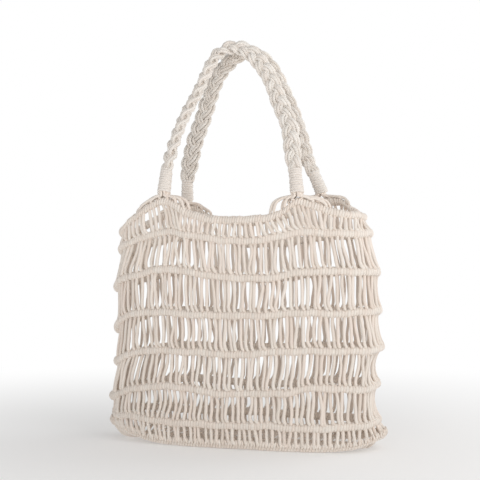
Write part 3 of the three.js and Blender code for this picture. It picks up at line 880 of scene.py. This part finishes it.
def plait(name, left, right):
    look, handle = plaitLook, handleTable[name]
    random = np.random.default_rng([seeds["plaits"], list(handleTable).index(name)])
    middle = (left["foot"] + right["foot"]) / 2
    halfStance = (right["foot"][0] - left["foot"][0]) / 2
    route = np.stack([
        middle[0] + np.array(handle["across"]) * halfStance,
        handle["side"] * np.array(handle["depth"]) * bagBody["halfDepth"],
        middle[2] + np.array(handle["rise"]) * handleBody["rise"],
    ], -1)
    start, end = (collar["top"] - collar["lean"] * look["inside"] for collar in (left, right))
    points = [start, left["top"], *route, right["top"], end]
    rough = throughPoints(points, np.linspace(0, 1, look["roughSteps"]))[0]
    length = np.linalg.norm(np.diff(rough, axis=0), axis=1).sum()
    steps = int(length / look["period"] * look["stepsPerPeriod"])
    centre = throughPoints(points, np.linspace(0, 1, steps))[0]
    tangent = unitVectors(np.gradient(centre, axis=0))
    through = unitVectors(frontwards - tangent * (tangent @ frontwards)[:, None])
    across = np.cross(through, tangent)
    run = np.linspace(0, length, steps)
    periods = run / look["period"]
    stations = np.linspace(0, length, len(handle["twist"]))
    twist = np.radians(smoothBetween(stations, handle["twist"], run))[:, None]
    width = smoothBetween(stations, handle["width"], run)
    through, across = (
        through * np.cos(twist) + across * np.sin(twist),
        across * np.cos(twist) - through * np.sin(twist),
    )
    fromEnd = np.minimum(run, length - run) - look["inside"]
    drawn, rest = look["drawnShare"], look["bundleRest"]
    opened = drawn + (1 - drawn) * eased(np.clip(fromEnd / look["shoulder"], 0, 1))
    paths, tones = [], []
    for strand in range(look["strands"]):
        angle = (periods + strand / look["strands"]) * 2 * math.pi
        wander = 1 + look["wander"] * np.sin(periods * look["wanderSpeed"] + strand * 2)
        x = look["swing"] * width * wander * np.sin(angle) * opened
        y = look["cross"] * np.sin(2 * angle) * opened
        line = centre + across * x[:, None] + through * y[:, None]
        lineTangent = unitVectors(np.gradient(line, axis=0))
        beside = unitVectors(np.cross(through, lineTangent))
        above = np.cross(lineTangent, beside)
        for offsetBeside, offsetAbove in look["bundle"]:
            stray = np.sin(periods * random.uniform(*look["straySpeeds"]) + random.uniform(0, 6))
            squeeze = (rest + (1 - rest) * opened) * (1 + look["stray"] * stray)
            sideShift = beside * (offsetBeside * squeeze * width)[:, None]
            paths.append(line + sideShift + above * (offsetAbove * squeeze)[:, None])
            tones.append(drawTones(random, look["tone"]))
    cord = CordMesh()
    cord.tubes(np.stack(paths), look["cordRadius"], look["sides"], tones, np.array([0.0, -1.0, 0.2]))
    return cord


collarLook = {
    "turns": 10,
    "stepsPerTurn": 22,
    "cordRadius": 1.75 * mm,
    "sides": 8,
    "below": 5.4 * mm,          # the lowest turn lies this far below the handle's foot
    "tuck": 0.15,               # how far the cord's ends turn in, as a share of the winding's radius
    "tuckTurns": 0.25,          # over this part of a turn
    "unround": 0.25 * mm,
    "unroundSpeed": 0.37,       # in waves for each turn
    "tilt": 0.35 * mm,
    # Set low, as painted shade on the collars
    "toneRange": (0.3, 0.5),
}


def woundCollar(place, number):
    look = collarLook
    random = np.random.default_rng([seeds["collars"], number])
    share = np.linspace(0, 1, look["turns"] * look["stepsPerTurn"] + 1)
    angle = share * look["turns"] * 2 * math.pi + random.uniform(0, 6)
    lean = place["lean"]
    sideways = unitVectors(np.cross(lean, frontwards))
    forwards = np.cross(sideways, lean)
    footRadius, topRadius = handleBody["footDiameter"] / 2, handleBody["topDiameter"] / 2
    outer = footRadius + (topRadius - footRadius) * share
    outer = outer + look["unround"] * np.sin(angle * look["unroundSpeed"] + number)
    fromEnd = np.minimum(share, 1 - share) * look["turns"]
    tuck = look["tuck"] * (1 - np.clip(fromEnd / look["tuckTurns"], 0, 1))
    radius = (outer - look["cordRadius"]) * (1 - tuck)
    length = handleBody["collarLength"] + look["below"] - 2 * look["cordRadius"]
    height = look["cordRadius"] - look["below"] + share * length
    height = height + look["tilt"] * np.sin(angle + 1.3 * number)
    path = (
        place["foot"] + lean * height[:, None]
        + sideways * (radius * np.cos(angle))[:, None] + forwards * (radius * np.sin(angle))[:, None]
    )
    cord = CordMesh()
    cord.tubes(path[None], look["cordRadius"], look["sides"], [random.uniform(*look["toneRange"])], lean)
    return cord


fanLook = {
    "cordRadius": 1.75 * mm,
    "steps": 18,
    "sides": 7,
    "tone": (0.6, 0.18),
    "inside": 5 * mm,           # the cords start this far up inside the collar
    "insideShare": 0.85,        # on a ring of this share of the next one's radius
    "ringRadius": 5.2 * mm,     # where they leave the collar
    "turns": [0.12, 0.88, 0.3, 0.7, 0.45, 0.55],       # and in which direction, from front to back
    "turnSpread": 0.04,
    "ringPower": 1.5,           # how soon they come in from that ring to the rope
    "shares": [0.18, 0.38, 0.58, 0.76, 0.9, 1.0],      # points along one cord's way over the rim
    "reachSpread": 0.06,
    "spread": [0.45, -0.3],     # in turn, how far out over the rim the cords lie, as shares of its radius
    "lift": 0.8,                # how high they lie on the rope, in their radii
    "dip": 3.2 * mm,            # how far the ends go down into the rope,
    "dipOut": 0.4 * mm,         # out of the bag
    "dipAlong": 0.15,           # and on along the rope, as a share of the last stretch
}

# For each collar and each side of it: how far its six cords reach along the rim, in millimetres, and how
# round their way is, from 1 for a straight line to 2 for a quarter of an ellipse.
fanTable = {
    "front_left": {
        "left": {"reach": [5, 11, 18, 25, 33, 42], "roundness": [1.2, 1.2, 1.15, 1.1, 1.1, 1.1]},
        "right": {"reach": [6, 12, 18, 24, 29, 34], "roundness": [1.4, 1.6, 1.8, 2, 2.1, 2.2]},
    },
    "front_right": {
        "left": {"reach": [5, 10, 14, 19, 27, 35], "roundness": [1.4, 1.5, 1.7, 1.9, 2.1, 2.2]},
        "right": {"reach": [6, 13, 20, 27, 34, 40], "roundness": [1.1, 1.2, 1.2, 1.3, 1.6, 2]},
    },
    "back_left": {
        "left": {"reach": [6, 12, 18, 25, 32, 38], "roundness": [1.2, 1.2, 1.2, 1.2, 1.2, 1.2]},
        "right": {"reach": [6, 12, 18, 23, 28, 33], "roundness": [1.2, 1.3, 1.4, 1.4, 1.4, 1.3]},
    },
    "back_right": {
        "left": {"reach": [6, 11, 17, 22, 27, 32], "roundness": [1.2, 1.3, 1.4, 1.5, 1.6, 1.7]},
        "right": {"reach": [7, 14, 21, 28, 35, 42], "roundness": [1.1, 1.15, 1.2, 1.2, 1.3, 1.4]},
    },
}


def fan(name, place, side, number):
    look = fanLook
    random = np.random.default_rng([seeds["fans"], number])
    ropeR, cordR = ropeRadius("rim_rope"), look["cordRadius"]
    shares = np.array(look["shares"])
    leave = place["foot"] - up * collarLook["below"]
    paths = []
    for way, sideName in ((-1, "left"), (1, "right")):
        row = fanTable[name][sideName]
        for i, (reach, roundness) in enumerate(zip(row["reach"], row["roundness"])):
            reach = reach * mm * random.uniform(1 - look["reachSpread"], 1 + look["reachSpread"])
            turn = math.pi * (look["turns"][i] + random.uniform(-look["turnSpread"], look["turnSpread"]))
            ring = np.array([way * math.sin(turn), side * math.cos(turn), 0.0]) * look["ringRadius"]
            # Anticlockwise is to the right on the front and to the left on the back.
            centre, outwards, _ = ropeAt("rim_rope", place["share"] - side * way * reach * shares / girth)
            spread = look["spread"][i % 2] * ropeR
            over = centre + outwards * (spread * shares)[:, None]
            over = over + ring * (1 - shares ** look["ringPower"])[:, None]
            lowest = centre[:, 2] + ropeR + cordR * look["lift"]
            drop = leave[2] - cordR - lowest[-1]
            fallen = 1 - (1 - shares ** roundness) ** (1 / roundness)
            over[:, 2] = np.maximum(leave[2] - cordR - drop * fallen, lowest)
            dipped = over[-1] - up * look["dip"] + outwards[-1] * look["dipOut"]
            dipped[:2] += (centre[-1] - centre[-2])[:2] * look["dipAlong"]
            start = place["foot"] + place["lean"] * look["inside"] + ring * look["insideShare"]
            points = [start, leave + ring, *over, dipped]
            paths.append(throughPoints(points, np.linspace(0, 1, look["steps"]))[0])
    tone = drawTones(random, look["tone"], len(paths))
    cord = CordMesh()
    cord.tubes(np.stack(paths), cordR, look["sides"], tone, np.array([0.0, 0.3, 1.0]))
    return cord


# Putting the bag together

for name in ropeNames:
    wrappedRing(name).build(name + "_wrapped", cotton, [name])
for i in range(1, 8):
    name = f"net_band_{i}"
    band = netBand(name, ropeNames[i - 1], ropeNames[i])
    if i == 7:
        baseLegs(band)
    band.build(name + "_cords", cotton, [name])
floorNet().build("base_net_cords", cotton, ["base_net"])
for handleNumber, (name, handle) in enumerate(handleTable.items()):
    ends = {end: collarPlace(handle, end) for end in ("left", "right")}
    braid = plait(name, ends["left"], ends["right"])
    braid.build(name + "_handle_plait", handlePaintedLightCotton, [name + "_handle_braid"])
    for endNumber, (end, place) in enumerate(ends.items()):
        number = handleNumber * 2 + endNumber
        node = f"{name}_{end}"
        woundCollar(place, number).build(node + "_collar", handlePaintedLightCotton, [node + "_whipping"])
        fan(node, place, handle["side"], number).build(node + "_fan_cords", cotton, [node + "_fan"])
print("The bag is made")


# Floor, light and camera

white = (1.0, 1.0, 1.0, 1.0)

studio = {
    "floorRadius": 14.0,
    "floorSides": 96,
    "floorColor": (0.95, 0.94, 0.93, 1.0),
    "fadeStart": -0.35,         # the floor fades into the backdrop between these distances from the bag
    "fadeEnd": 1.0,
    "worldLight": 0.375,
    "backdropStrength": 1.0,
    "lightsAim": (0.0, 0.0, 0.22),
    "cameraMiddle": -3 * mm,    # the camera swings round this place along X
    "cameraDistance": 1.0,
    "cameraAzimuth": 15.5,
    "cameraHeight": 186 * mm,
    "cameraLens": 62.25,        # millimetres, as is the sensor
    "cameraSensor": 36,
    "cameraReach": 60,
    "cameraPitch": 3.1,
    "cameraYaw": 0.1,
}


def floorFinish():
    finish = Finish(bpy.data.materials.new("pale floor"))
    place = finish.node("ShaderNodeTexCoord", {}, {}, 3)
    away = finish.node("ShaderNodeVectorMath", {"operation": "LENGTH"}, {0: place}, 1)
    fade = finish.node(
        "ShaderNodeMapRange", {"interpolation_type": "SMOOTHSTEP"},
        {"Value": away, "From Min": studio["fadeStart"], "From Max": studio["fadeEnd"]},
    )
    near = finish.node("ShaderNodeBsdfDiffuse", {}, {"Color": studio["floorColor"]})
    far = finish.node("ShaderNodeEmission", {}, {"Color": white, "Strength": studio["backdropStrength"]})
    return finish.end(finish.node("ShaderNodeMixShader", {}, {0: fade, 1: near, 2: far}))


def makeFloor():
    bpy.ops.object.select_all(action="DESELECT")
    bpy.ops.mesh.primitive_circle_add(
        vertices=studio["floorSides"], radius=studio["floorRadius"], fill_type="NGON",
    )
    floor = bpy.context.active_object
    floor.name = "floor"
    floor.data.materials.append(floorFinish())


lights = {
    "key": {"place": (0.85, -0.5, 0.75), "size": 0.8, "power": 3.9, "color": (1.0, 0.985, 0.97)},
    "rim": {"place": (0.75, 0.5, 0.6), "size": 0.6, "power": 2.4, "color": (1.0, 1.0, 1.0)},
    "front": {"place": (0.0, -1.3, 0.15), "size": 0.9, "power": 4.6, "color": (1.0, 0.975, 0.955)},
}


def makeLight(name, values):
    data = bpy.data.lights.new(name, "AREA")
    data.shape = "SQUARE"
    data.size = values["size"]
    data.energy = values["power"]
    data.color = values["color"]
    lamp = bpy.data.objects.new(name, data)
    bpy.context.scene.collection.objects.link(lamp)
    lamp.location = values["place"]
    aim = Vector(studio["lightsAim"]) - Vector(values["place"])
    lamp.rotation_euler = aim.to_track_quat("-Z", "Y").to_euler()


def makeWorld():
    room = Finish(bpy.data.worlds.new("white room"))
    light, backdrop = (
        room.node("ShaderNodeBackground", {}, {"Color": white, "Strength": studio[strength]})
        for strength in ("worldLight", "backdropStrength")
    )
    seen = room.node("ShaderNodeLightPath")
    both = room.node("ShaderNodeMixShader", {}, {0: seen, 1: light, 2: backdrop})
    bpy.context.scene.world = room.end(both, "ShaderNodeOutputWorld")


def makeCamera():
    data = bpy.data.cameras.new("camera")
    data.lens = studio["cameraLens"]
    data.sensor_width = studio["cameraSensor"]
    data.clip_end = studio["cameraReach"]
    camera = bpy.data.objects.new("camera", data)
    bpy.context.scene.collection.objects.link(camera)
    azimuth = math.radians(studio["cameraAzimuth"])
    across = studio["cameraMiddle"] + math.sin(azimuth) * studio["cameraDistance"]
    back = math.cos(azimuth) * studio["cameraDistance"]
    camera.location = (across, -back, studio["cameraHeight"])
    tilt = math.radians(90 + studio["cameraPitch"])
    camera.rotation_euler = Euler((tilt, 0, azimuth + math.radians(studio["cameraYaw"])))
    bpy.context.scene.camera = camera


makeFloor()
for name, values in lights.items():
    makeLight(name, values)
makeWorld()
makeCamera()
bpy.context.scene.view_settings.view_transform = "Standard"
print("Floor, light and camera are set")
